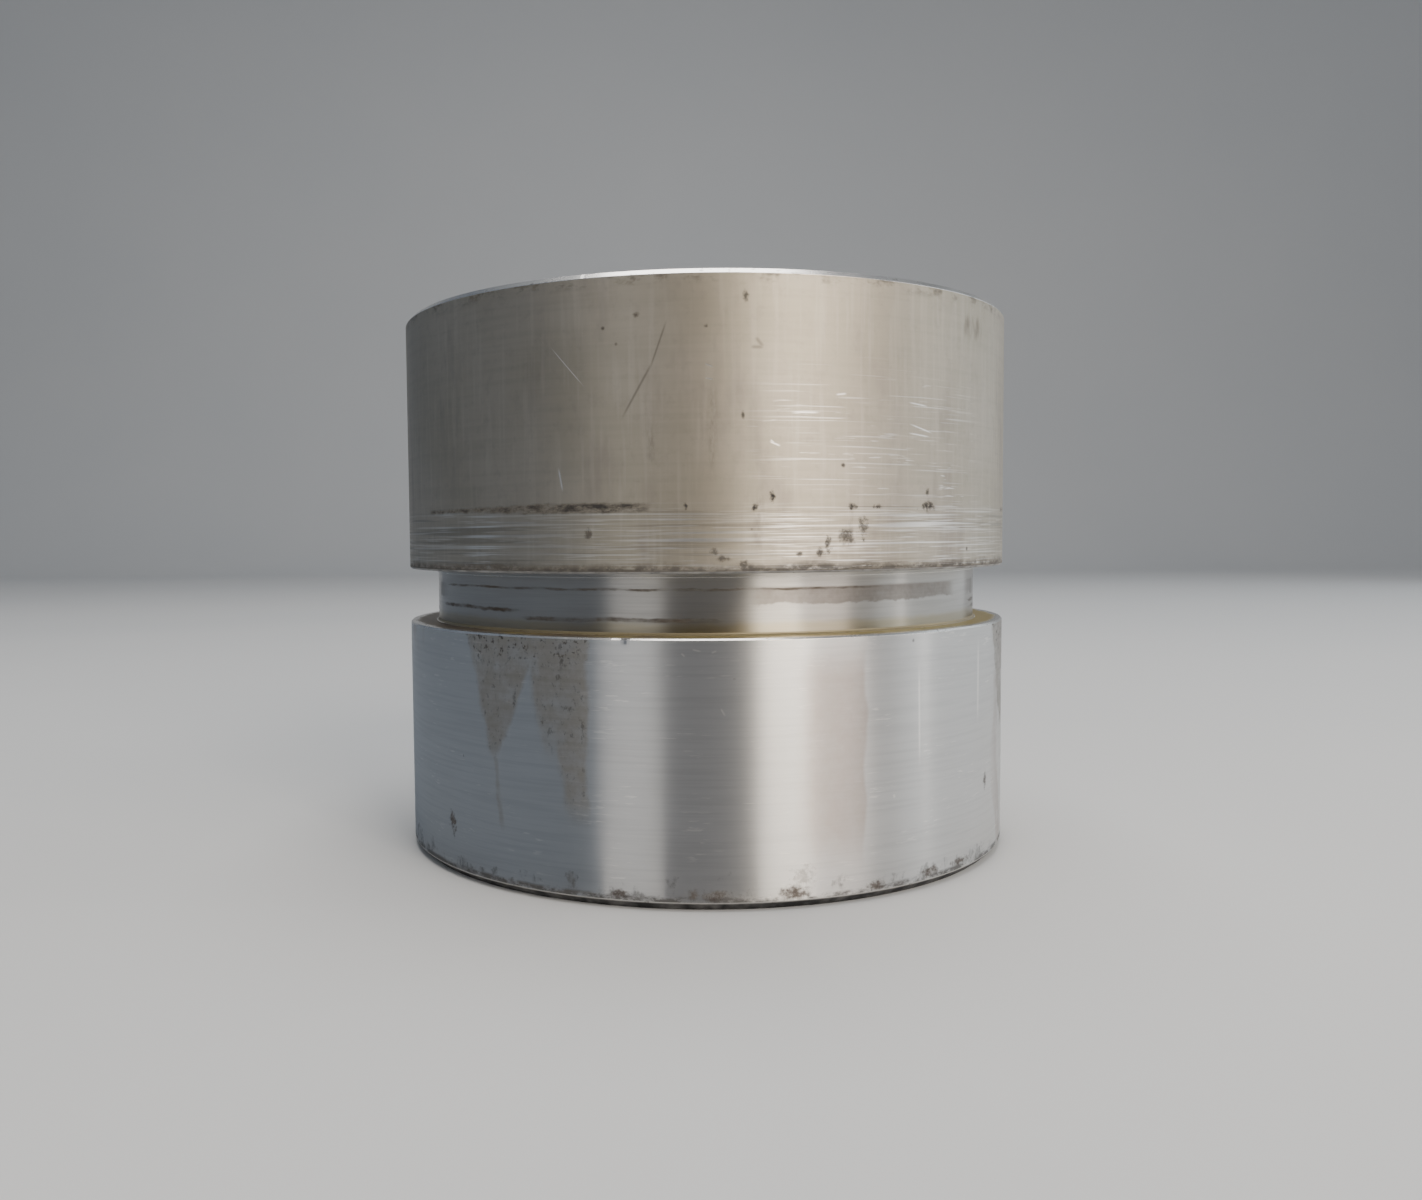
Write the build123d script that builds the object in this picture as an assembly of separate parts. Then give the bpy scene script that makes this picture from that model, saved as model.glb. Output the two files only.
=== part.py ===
from build123d import *
import os
from math import cos, radians, sin

# Rigid sleeve coupling for two shafts in line.
# Millimetres. Z runs along the shafts, the origin is the centre of the lower end face,
# the keyway opens towards +Y and the side screws enter from +X.

# ---------------------------------------------------------------- driving dimensions
# outside of the sleeve, from the lower end face upwards
outer_diameter = 100.0
lower_land_height = 36.8
groove_width = 8.6
upper_land_height = 39.9
neck_diameter = 90.8

# edges
upper_end_chamfer = 0.7
lower_end_chamfer = 1.2
land_edge_break = 0.25
neck_corner_radius = 0.4
neck_step_height = 0.65
neck_step_depth = 0.15

# shaft bore and its keyway, for a 14 x 9 parallel key
shaft_diameter = 45.0
bore_mouth_chamfer = 1.5
keyway_width = 14.0
keyway_depth = 3.8

# internal retaining ring for a 45 bore
ring_groove_diameter = 47.5
ring_groove_width = 1.85
ring_thickness = 1.75
ring_inner_diameter = 39.0
ring_bore_offset = 0.45
ring_gap_angle = 34.0
ring_ear_radius = 2.9
ring_ear_centre = 20.4
ring_ear_hole_diameter = 2.5

# M12 socket set screws, with plain stand-ins for their threads
screw_diameter = 12.0
tapped_hole_diameter = 12.3
hole_mouth_diameter = 14.6
key_screw_length = 16.0
side_screw_length = 20.0
screw_end_chamfer = 1.2
socket_across_flats = 6.0
socket_depth = 7.5
socket_mouth_chamfer = 0.4

# brass pads under the screws
pad_diameter = 10.0
pad_length = 5.0
pad_edge_chamfer = 0.4
pad_setback = 0.4

# ---------------------------------------------------------------- derived sizes
total_height = lower_land_height + groove_width + upper_land_height
outer_radius = outer_diameter / 2
neck_radius = neck_diameter / 2
bore_radius = shaft_diameter / 2
keyway_floor_radius = bore_radius + keyway_depth
upper_land_start = lower_land_height + groove_width
mid_height = total_height / 2

# screws stand at the middle height of each land
lower_screw_height = lower_land_height / 2
upper_screw_height = upper_land_start + upper_land_height / 2

# directions in which the screws' holes leave the sleeve, in degrees from +X about Z
key_screw_direction = 90.0
side_screw_direction = 0.0


# ---------------------------------------------------------------- helpers
def radial_plane(direction, height, radius):
    """Plane at a radius from the shaft axis, facing outwards in the given direction."""
    outward = Vector(cos(radians(direction)), sin(radians(direction)), 0)
    centre = outward * radius + Vector(0, 0, height)
    return Plane(origin=centre, x_dir=Vector(0, 0, 1), z_dir=outward)


def chamfered_disc(diameter, length, edge):
    """Plain cylinder from z = 0 to its length, with both rims chamfered."""
    disc = Cylinder(diameter / 2, length, align=(Align.CENTER, Align.CENTER, Align.MIN))
    return chamfer(disc.edges().filter_by(GeomType.CIRCLE), edge)


def save(solid, node):
    solid.label = node
    export_step(solid, os.path.join("parts", node + ".step"))


# ---------------------------------------------------------------- sleeve
def sleeve_blank():
    """The turned body: one half-section revolved about the shaft axis."""
    step_radius = neck_radius + neck_step_depth
    ring_groove_radius = ring_groove_diameter / 2
    ring_groove_low = mid_height - ring_groove_width / 2
    ring_groove_high = mid_height + ring_groove_width / 2
    mouth_radius = bore_radius + bore_mouth_chamfer
    corner_start = (neck_radius + neck_corner_radius, lower_land_height)
    corner_end = (neck_radius, lower_land_height + neck_corner_radius)

    outside_low = Polyline(
        (mouth_radius, 0),
        (outer_radius - lower_end_chamfer, 0),
        (outer_radius, lower_end_chamfer),
        (outer_radius, lower_land_height - land_edge_break),
        (outer_radius - land_edge_break, lower_land_height),
        corner_start,
    )
    corner = RadiusArc(corner_start, corner_end, neck_corner_radius)
    outside_high = Polyline(
        corner_end,
        (neck_radius, upper_land_start - neck_step_height),
        (step_radius, upper_land_start - neck_step_height),
        (step_radius, upper_land_start),
        (outer_radius - land_edge_break, upper_land_start),
        (outer_radius, upper_land_start + land_edge_break),
        (outer_radius, total_height - upper_end_chamfer),
        (outer_radius - upper_end_chamfer, total_height),
        (mouth_radius, total_height),
    )
    inside = Polyline(
        (mouth_radius, total_height),
        (bore_radius, total_height - bore_mouth_chamfer),
        (bore_radius, ring_groove_high),
        (ring_groove_radius, ring_groove_high),
        (ring_groove_radius, ring_groove_low),
        (bore_radius, ring_groove_low),
        (bore_radius, bore_mouth_chamfer),
        (mouth_radius, 0),
    )
    section = make_face(Curve() + [outside_low, corner, outside_high, inside])
    return revolve(Plane.XZ * section, Axis.Z, 360)


def keyway():
    """Broached slot along the whole bore, opening towards +Y."""
    slot = Box(
        keyway_width,
        keyway_floor_radius,
        total_height,
        align=(Align.CENTER, Align.MIN, Align.MIN),
    )
    return slot


def screw_hole(direction, height):
    """Radial hole from the bore to the outside, with a countersunk mouth."""
    start = radial_plane(direction, height, 0)
    drill = Cylinder(
        tapped_hole_diameter / 2,
        outer_diameter,
        align=(Align.CENTER, Align.CENTER, Align.MIN),
    )
    sink_depth = (hole_mouth_diameter - tapped_hole_diameter) / 2
    sink_overrun = 1.0
    sink = Cone(
        tapped_hole_diameter / 2,
        hole_mouth_diameter / 2 + sink_overrun,
        sink_depth + sink_overrun,
        align=(Align.CENTER, Align.CENTER, Align.MIN),
    )
    sink_place = radial_plane(direction, height, outer_radius - sink_depth)
    return start * drill + sink_place * sink


def sleeve():
    body = sleeve_blank() - keyway()
    for direction in (key_screw_direction, side_screw_direction):
        for height in (lower_screw_height, upper_screw_height):
            body -= screw_hole(direction, height)
    return body


# ---------------------------------------------------------------- shaft stop ring
def shaft_stop_ring():
    """Internal retaining ring, thickest opposite its gap, with two drilled ears at the gap."""
    gap_direction = 180.0
    ring = Circle(ring_groove_diameter / 2)
    ring -= Pos(ring_bore_offset, 0) * Circle(ring_inner_diameter / 2)
    gap_reach = ring_groove_diameter
    half_gap = radians(ring_gap_angle / 2)
    gap = make_face(
        Polyline(
            (0, 0),
            (-gap_reach * cos(half_gap), gap_reach * sin(half_gap)),
            (-gap_reach * cos(half_gap), -gap_reach * sin(half_gap)),
            close=True,
        )
    )
    ring -= gap
    ear_turn = ring_gap_angle / 2 + 8.0
    for side in (-1, 1):
        angle = radians(gap_direction + side * ear_turn)
        centre = Pos(ring_ear_centre * cos(angle), ring_ear_centre * sin(angle))
        ring += centre * Circle(ring_ear_radius)
    for side in (-1, 1):
        angle = radians(gap_direction + side * ear_turn)
        centre = Pos(ring_ear_centre * cos(angle), ring_ear_centre * sin(angle))
        ring -= centre * Circle(ring_ear_hole_diameter / 2)
    blank = extrude(ring, ring_thickness)
    return Pos(0, 0, mid_height - ring_thickness / 2) * blank


# ---------------------------------------------------------------- screws and pads
def set_screw(length):
    """Socket set screw from its flat point at z = 0 up to its socket end."""
    blank = chamfered_disc(screw_diameter, length, screw_end_chamfer)
    hexagon = RegularPolygon(socket_across_flats / 2, 6, major_radius=False)
    socket = Pos(0, 0, length - socket_depth) * extrude(hexagon, socket_depth)
    drill_point = Pos(0, 0, length - socket_depth) * Cone(
        0,
        socket_across_flats / 2,
        socket_across_flats / 4,
        align=(Align.CENTER, Align.CENTER, Align.MAX),
    )
    corner_radius = socket_across_flats / 2 / cos(radians(30))
    mouth = Pos(0, 0, length - socket_mouth_chamfer) * Cone(
        corner_radius - socket_mouth_chamfer,
        corner_radius + socket_mouth_chamfer,
        2 * socket_mouth_chamfer,
        align=(Align.CENTER, Align.CENTER, Align.MIN),
    )
    return blank - socket - drill_point - mouth


def brass_pad():
    return chamfered_disc(pad_diameter, pad_length, pad_edge_chamfer)


def build_screw_set(name, direction, height, seat_radius, length):
    """Pad set back from its seat, and the screw on top of it, both on one radial line."""
    pad_radius = seat_radius + pad_setback
    screw_radius = pad_radius + pad_length
    save(radial_plane(direction, height, pad_radius) * brass_pad(), name + "_pad")
    save(radial_plane(direction, height, screw_radius) * set_screw(length), name + "_screw")


# ---------------------------------------------------------------- write the parts
os.makedirs("parts", exist_ok=True)

save(sleeve(), "sleeve")
save(shaft_stop_ring(), "shaft_stop_ring")
for land, land_middle in (("lower", lower_screw_height), ("upper", upper_screw_height)):
    build_screw_set(
        land + "_key", key_screw_direction, land_middle, keyway_floor_radius, key_screw_length
    )
    build_screw_set(
        land + "_side", side_screw_direction, land_middle, bore_radius, side_screw_length
    )
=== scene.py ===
import random
from math import acos, atan2, cos, dist, pi, radians, sin, sqrt, tan

import bpy
import numpy as np
from mathutils import Matrix, Vector


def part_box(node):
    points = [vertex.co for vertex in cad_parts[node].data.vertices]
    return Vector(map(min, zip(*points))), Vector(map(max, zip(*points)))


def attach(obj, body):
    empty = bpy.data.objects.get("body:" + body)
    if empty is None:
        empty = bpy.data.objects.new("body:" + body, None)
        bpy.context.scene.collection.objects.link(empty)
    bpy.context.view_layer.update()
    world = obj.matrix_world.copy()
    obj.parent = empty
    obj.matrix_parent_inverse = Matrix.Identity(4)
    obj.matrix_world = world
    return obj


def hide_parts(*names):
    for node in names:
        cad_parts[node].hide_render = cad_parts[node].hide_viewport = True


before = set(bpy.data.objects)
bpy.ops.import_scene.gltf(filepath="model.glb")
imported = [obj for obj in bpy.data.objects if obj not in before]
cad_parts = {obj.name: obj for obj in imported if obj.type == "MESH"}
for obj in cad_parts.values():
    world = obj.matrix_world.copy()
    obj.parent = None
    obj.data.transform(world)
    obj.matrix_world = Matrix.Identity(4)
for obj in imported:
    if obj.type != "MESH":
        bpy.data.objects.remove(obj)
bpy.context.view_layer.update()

# A rigid sleeve coupling, turned from one bar, standing on its lower end face.
# Sizes below are in millimetres, in the frame of the CAD model: Z along the shafts,
# origin at the centre of the lower end face, keyway towards +Y, side screws from +X.
MM = 0.001

# ---------- sizes of the sleeve
sleeve_low, sleeve_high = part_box("sleeve")
OUTER_R = sleeve_high.x / MM
TOTAL_HEIGHT = sleeve_high.z / MM
LOWER_LAND_TOP = 36.8
UPPER_LAND_BOTTOM = 45.4
NECK_R = 45.4
NECK_CORNER_R = 0.4
NECK_STEP_HEIGHT = 0.65
NECK_STEP_DEPTH = 0.15
UPPER_CHAMFER = 0.7
LOWER_CHAMFER = 1.2
LAND_EDGE = 0.25
BORE_R = 22.5
BORE_MOUTH = 1.5
KEYWAY_WIDTH = 14.0
KEYWAY_FLOOR = 26.3
RING_GROOVE_R = 23.75
RING_GROOVE_WIDTH = 1.85

# ---------- screws, pads, stop ring
THREAD_PITCH = 1.75
THREAD_MAJOR_R = 6.0
THREAD_MINOR_R = 5.1
THREAD_PLAY = 0.1
HOLE_R = 6.15
HOLE_MOUTH_R = 7.3
COUNTERSINK = HOLE_MOUTH_R - HOLE_R
SCREW_CHAMFER = 1.2
SOCKET_FLAT_R = 3.0
SOCKET_DEPTH = 7.5
RING_BORE_R = 19.5
RING_BORE_OFFSET = 0.45
RING_GAP_HALF_ANGLE = 17.0
RING_EAR_TURN = 25.0
RING_EAR_R = 2.9
RING_EAR_CENTRE = 20.4
RING_EAR_HOLE_R = 1.25

# each screw: the direction its socket faces, and the radius of the wall its pad comes through
SCREWS = {}
for level in ("lower", "upper"):
    SCREWS[level + "_key"] = (Vector((0, 1, 0)), KEYWAY_FLOOR)
    SCREWS[level + "_side"] = (Vector((1, 0, 0)), BORE_R)


# ========== node graphs
class Value:
    """A number, vector or colour somewhere in a node graph, with the usual arithmetic."""

    def __init__(self, graph, socket):
        self.graph = graph
        self.socket = socket

    def __add__(self, other):
        return self.graph.math("ADD", self, other)

    def __radd__(self, other):
        return self.graph.math("ADD", other, self)

    def __sub__(self, other):
        return self.graph.math("SUBTRACT", self, other)

    def __mul__(self, other):
        return self.graph.math("MULTIPLY", self, other)

    def __truediv__(self, other):
        return self.graph.math("DIVIDE", self, other)

    def __abs__(self):
        return self.graph.math("ABSOLUTE", self)


class Graph:
    """A material's node graph, written as short expressions. Lengths are in millimetres."""

    def __init__(self, name):
        self.material = bpy.data.materials.new(name)
        self.material.use_nodes = True
        self.tree = self.material.node_tree
        self.tree.nodes.clear()
        self.shader = self.node("BsdfPrincipled")
        self.node("OutputMaterial", Surface=Value(self, self.shader.outputs["BSDF"]))
        coordinates = Value(self, self.node("TexCoord").outputs["Object"])
        self.place = self.vector_math("SCALE", coordinates, scale=1 / MM)
        split = self.node("SeparateXYZ", self.place)
        self.x, self.y, self.z = (Value(self, output) for output in split.outputs)
        self.arc = self.math("ARCTAN2", self.x, self.y * -1) * OUTER_R

    def feed(self, socket, value):
        """Sets a socket to a number or a colour, or links a value of the graph to it."""
        if isinstance(value, Value):
            self.tree.links.new(value.socket, socket)
        elif isinstance(value, (tuple, list)) and len(socket.default_value) == 4:
            socket.default_value = (*value[:3], 1.0)
        else:
            socket.default_value = value

    def node(self, kind, *values, **named):
        """A new node. Values feed its inputs by place, or by capitalised name, where they are
        not None. Lower-case names are settings of the node."""
        node = self.tree.nodes.new("ShaderNode" + kind)
        for setting in [key for key in named if key.islower()]:
            setattr(node, setting, named.pop(setting))
        for key, value in [*enumerate(values), *named.items()]:
            if value is not None:
                self.feed(node.inputs[key], value)
        return node

    def math(self, operation, *values, clamp=False):
        node = self.node("Math", *values, operation=operation, use_clamp=clamp)
        return Value(self, node.outputs[0])

    def vector_math(self, operation, first, second=None, scale=None):
        node = self.node("VectorMath", first, second, Scale=scale, operation=operation)
        return Value(self, node.outputs[0])

    def vector(self, x, y, z):
        return Value(self, self.node("CombineXYZ", x, y, z).outputs[0])

    def step(self, value, low, high):
        """0 below low, 1 above high, smooth between them; low may be above high."""
        node = self.node("MapRange", value, low, high, interpolation_type="SMOOTHSTEP")
        return Value(self, node.outputs["Result"])

    def band(self, value, low, high, blur):
        """1 between low and high, falling to 0 over blur outside them."""
        return self.step(value, low - blur, low) * self.step(value, high + blur, high)

    def most(self, *values):
        largest = values[0]
        for value in values[1:]:
            largest = self.math("MAXIMUM", largest, value)
        return largest

    def noise(self, size, detail=2.0, roughness=0.5, seed=0.0):
        """Noise from 0 to 1. size is one grain size, or one for each axis, in millimetres."""
        if isinstance(size, (int, float)):
            size = (size, size, size)
        scaled = self.vector_math("MULTIPLY", self.place, tuple(1 / s for s in size))
        moved = self.vector_math("ADD", scaled, (seed * 7.3, seed * 3.1, seed * 5.7))
        node = self.node("TexNoise", Vector=moved, Scale=1.0, Detail=detail, Roughness=roughness)
        return Value(self, node.outputs["Fac"])

    def rings(self, length, pitch, detail=2.0, seed=0.0):
        """Noise drawn out round the shaft axis: marks of that length, that far apart along Z."""
        return self.noise((length, length, pitch), detail, 0.55, seed)

    def spots(self, size, seed=0.0):
        """Distance from the nearest of a set of scattered points, 0 to about 1."""
        scaled = self.vector_math("SCALE", self.place, scale=1 / size)
        moved = self.vector_math("ADD", scaled, (seed, seed * 1.7, seed * 2.3))
        node = self.node("TexVoronoi", Vector=moved, Scale=1.0)
        return Value(self, node.outputs["Distance"])

    def mix(self, factor, first, second):
        """Colour between first and second."""
        node = self.node("Mix", factor, *[None] * 5, first, second, data_type="RGBA")
        return Value(self, node.outputs[2])

    def coats(self, tone, *rows):
        """Lays coats over a tone, each (where it lies, how much it covers, its colour)."""
        for where, cover, colour in rows:
            tone = self.mix(where * cover, tone, colour)
        return tone

    def blend(self, factor, first, second):
        """Number between first and second."""
        return Value(self, self.node("Mix", factor, None, first, second).outputs[0])

    def distance(self, first, second):
        """Length of the diagonal across two lengths."""
        return self.math("SQRT", first * first + second * second)

    def segment(self, arc, z, end_arc, end_z, width):
        """A fine straight mark on a land, tapering towards both ends."""
        length = dist((arc, z), (end_arc, end_z))
        along, rise = (end_arc - arc) / length, (end_z - z) / length
        from_arc = self.arc - arc
        from_z = self.z - z
        run = from_arc * along + from_z * rise
        off = from_arc * rise - from_z * along
        taper = self.band(run, length * 0.3, length * 0.7, length * 0.3)
        return taper * self.step(abs(off), width, 0.0)

    def patch(self, arc, z, half_width, half_height, rag):
        """A mottled smudge on a land, with an edge as ragged as rag says."""
        across = (self.arc - arc) / half_width
        up = (self.z - z) / half_height
        edge = self.noise(0.8, 5.0, 0.65, seed=arc)
        rough = self.distance(across, up) + (edge - 0.5) * (rag * 3)
        speckle = self.step(self.noise(0.6, 4.0, 0.7, seed=z), 0.22, 0.56)
        return self.step(rough, 1.1, 0.2) * speckle

    def each(self, kind, *rows):
        """The strongest, at every point, of the marks of one kind that the rows describe."""
        return self.most(*(kind(*row) for row in rows))

    def slant(self, arc, z, end_arc, end_z):
        """Arc, at each height, of the straight line through two points."""
        return arc + (self.z - z) * ((end_arc - arc) / (end_z - z))

    def bump(self, *layers):
        """Stacks (height, depth in micrometres) layers into the surface normal."""
        normal = None
        for height, depth in layers:
            depth *= 1e-6
            node = self.node("Bump", Strength=1.0, Distance=depth, Height=height, Normal=normal)
            normal = Value(self, node.outputs["Normal"])
        self.feed(self.shader.inputs["Normal"], normal)

    def grained(self, strength, towards=(0.0, 0.0, 1.0)):
        """Spreads reflections along one direction, across the tool lines."""
        self.shader.inputs["Anisotropic"].default_value = strength
        if isinstance(towards, tuple):
            towards = self.vector(*towards)
        self.feed(self.shader.inputs["Tangent"], towards)

    def finish(self, color, roughness, metallic=1.0):
        self.feed(self.shader.inputs["Base Color"], color)
        self.feed(self.shader.inputs["Roughness"], roughness)
        self.feed(self.shader.inputs["Metallic"], metallic)
        return self.material


METAL_WARM = (0.49, 0.435, 0.345)
METAL_PALE = (0.64, 0.625, 0.6)
METAL_BRIGHT = (0.92, 0.89, 0.85)
DIRT = (0.045, 0.04, 0.038)


# ========== materials
def upper_land_material():
    """Matt bar surface above, a coarsely turned band below, and dirt where the tool stopped."""
    g = Graph("upper_land_matt")
    cloud = g.noise(22, 3)
    grain = g.rings(5, 0.3)
    brush = g.rings(20, 0.9, seed=1)
    drawn = g.noise((0.9, 0.9, 16), 3, seed=2)
    mottle = g.noise(1.6, 5, 0.65, seed=3)
    jitter = g.noise(2.4, 4, 0.7, seed=4) - 0.5

    turned_zone = g.step(g.z + (cloud - 0.5) * 2, 54.8, 53.2)
    long_lines = g.step(g.rings(34, 0.34, 2, seed=5), 0.53, 0.64)
    short_lines = g.step(g.rings(9, 0.26, 2, seed=15), 0.56, 0.68)
    rubbed_part = g.step(g.noise((20, 20, 40), 2, seed=19), 0.5, 0.62)
    rubbed_part = g.most(g.band(g.arc, 10, 36, 22), rubbed_part)
    turned_lines = g.most(long_lines, short_lines * 0.8) * (0.4 + rubbed_part * 0.6)
    turned_shade = g.step(g.rings(26, 0.5, 2, seed=6), 0.5, 0.36)
    clumps = g.step(g.noise((9, 9, 7), 2, seed=7), 0.42, 0.66)
    rubbed_side = g.band(g.arc, 16, 36, 14) * g.band(g.z, 55, 66, 10)
    rubbed_back = g.step(abs(g.arc), 60, 70) * g.step(g.z, 74, 60)
    short_ones = g.step(g.rings(5, 0.42, 2, seed=8), 0.63, 0.7)
    long_ones = g.step(g.rings(16, 0.3, 2, seed=17), 0.6, 0.68)
    scratches = g.most(short_ones * clumps, long_ones * 0.6)
    scratches *= g.most(rubbed_side, rubbed_back)
    scoring = g.most(turned_lines * turned_zone, scratches)

    # dirt packed against the tool mark: long on one side, a few spots on the other
    thickness = 0.16 + g.band(g.arc, -22, -13, 14) * 0.36
    off_mark = abs(g.z - 54.2 + jitter * 0.7)
    filled = g.step(off_mark - thickness, 0.4, -0.2)
    far_parts = g.step(abs(g.arc), 52, 58) * g.step(g.noise(13, 2, seed=9), 0.5, 0.56)
    long_part = g.band(g.arc, -47.5, -9, 2)
    mark_dirt = filled * g.most(long_part, far_parts)
    packed = g.step(g.noise((2.2, 2.2, 0.9), 5, 0.7, seed=10), 0.36, 0.64)
    mark_dirt *= 0.25 + packed * 0.75
    spots = g.each(
        g.patch,
        (20.1, 54.2, 0.8, 0.6, 1), (24.1, 54.2, 0.9, 0.45, 1),
        (33.4, 54.3, 1.6, 0.8, 1), (33.4, 56.2, 0.5, 0.5, 1), (-2.8, 54.4, 0.3, 0.6, 1),
        (8.6, 55.7, 0.45, 0.9, 1), (6.4, 54.2, 0.5, 0.6, 1),
    )
    smudges = g.each(
        g.patch,
        (19.3, 50.1, 1.4, 1.2, 0.9), (21.7, 51.4, 0.9, 1.4, 1.3),
        (16.4, 49, 0.6, 1.3, 1.2), (15.3, 48.1, 0.8, 0.6, 0.8), (12.4, 47.9, 0.5, 0.4, 0.6),
        (2.1, 47.4, 1.1, 0.6, 0.8), (4.8, 46.5, 1.1, 0.7, 1), (0.8, 48.3, 0.6, 0.6, 1.1),
        (-9.2, 79.4, 0.6, 0.45, 0.8), (0, 77.7, 0.4, 0.35, 0.6), (4.8, 66.2, 0.3, 0.6, 0.6),
        (-16.2, 50.7, 0.6, 0.9, 1), (5.2, 81.6, 0.5, 0.8, 0.9), (18.7, 59.7, 0.4, 0.35, 0.4),
        (-13.8, 77.9, 0.33, 0.33, 0.2),
    )
    corner_smear = g.band(g.arc, 43, 46.5, 2) * g.band(g.z, 79.6, 80.8, 1.6)
    corner_smear *= g.step(g.noise((1.2, 1.2, 5), 4, seed=18), 0.35, 0.6)

    reach = 0.3 + g.noise(4, 3, seed=11) * 1.5
    edge_dirt = g.step(g.z - UPPER_LAND_BOTTOM - reach, 0.6, -0.6)
    edge_dirt *= g.step(g.noise((1.9, 1.9, 1.1), 5, 0.7, seed=12), 0.26, 0.58)
    edge_line = g.step(g.z - UPPER_LAND_BOTTOM, 0.85, 0.35)
    edge_line *= 0.35 + g.noise((4, 4, 1), 4, 0.6, seed=20) * 0.7
    rim_dirt = g.step(g.z, TOTAL_HEIGHT - 2.6, TOTAL_HEIGHT - 0.8)
    rim_dirt *= g.step(g.noise((3.5, 3.5, 2), 5, 0.65, seed=13), 0.48, 0.66)
    flecks = g.step(g.spots(8) + mottle * 0.08, 0.085, 0.05)
    dirt = g.most(
        mark_dirt, spots, edge_line, edge_dirt * 0.85, smudges * 0.8, flecks * 0.7,
        rim_dirt * 0.6, corner_smear * 0.4,
    )

    smears = g.step(g.noise((6, 6, 18), 4, 0.6, seed=14), 0.5, 0.72) * 0.5
    light_marks = g.each(
        g.segment,
        (-20.6, 59.9, -19.9, 56.3, 0.2), (-21.8, 76.2, -16.4, 70.2, 0.1),
        (8.2, 62.8, 9.9, 62.1, 0.2), (8.4, 63, 9, 62.5, 0.16), (11, 66.6, 15.5, 66.6, 0.2),
        (17.5, 69, 19.3, 69.2, 0.2), (29.5, 65.6, 34.5, 64.4, 0.16),
        (29.3, 64.3, 34, 63.9, 0.16), (29.3, 68.5, 33.5, 68.1, 0.16),
        (-0.3, 72.9, 1, 72.4, 0.14), (-0.2, 71, 1, 70.8, 0.14),
    )
    dark_marks = g.each(
        g.segment,
        (-5, 79, -7.6, 71.8, 0.22), (-6.6, 74, -11.6, 65.4, 0.26),
        (5.7, 75, 7.7, 75, 0.4), (6.4, 76.4, 7.6, 74.9, 0.4),
        (17, 54.15, 34, 54.15, 0.15),
    )
    rubs = g.each(
        g.segment,
        (0.9, 72, 0.6, 57, 0.95), (-7.4, 65.5, -7.2, 59.5, 1),
        (7, 57.5, 6.6, 47, 1.3), (19.8, 56, 19.6, 47.5, 1.2),
    )
    rubs *= g.step(g.noise((0.9, 0.9, 2.6), 4, 0.7, seed=16), 0.34, 0.66)

    tone = g.coats(
        g.mix(g.step(cloud, 0.3, 0.7), METAL_WARM, (0.55, 0.49, 0.405)),
        (g.step(brush, 0.4, 0.7), 0.25, (0.4, 0.36, 0.29)),
        (g.step(drawn, 0.48, 0.7), 0.25, (0.68, 0.62, 0.53)),
        (g.step(mottle, 0.5, 0.72), 0.22, (0.34, 0.29, 0.25)),
        (smears, 1, (0.38, 0.33, 0.29)),
        (turned_shade * turned_zone * 0.45, 1, (0.27, 0.24, 0.2)),
        (scoring, 0.75, METAL_BRIGHT),
        (light_marks, 0.9, METAL_BRIGHT),
        (dark_marks, 0.55, (0.16, 0.14, 0.12)),
        (rubs, 0.4, (0.2, 0.17, 0.15)),
    )
    color = g.mix(dirt, tone, DIRT)

    rough = 0.44 + grain * 0.08 + cloud * 0.06 + smears * 0.12
    rough = g.blend(g.most(scoring, light_marks), rough, 0.34)
    rough = g.blend(dirt, rough, 0.75)
    g.bump((grain, 1.5), (scoring, -3), (mottle, 3), (light_marks, -6))
    g.grained(0.5)
    return g.finish(color, rough, g.blend(dirt * dirt, 1, 0.3))


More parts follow.
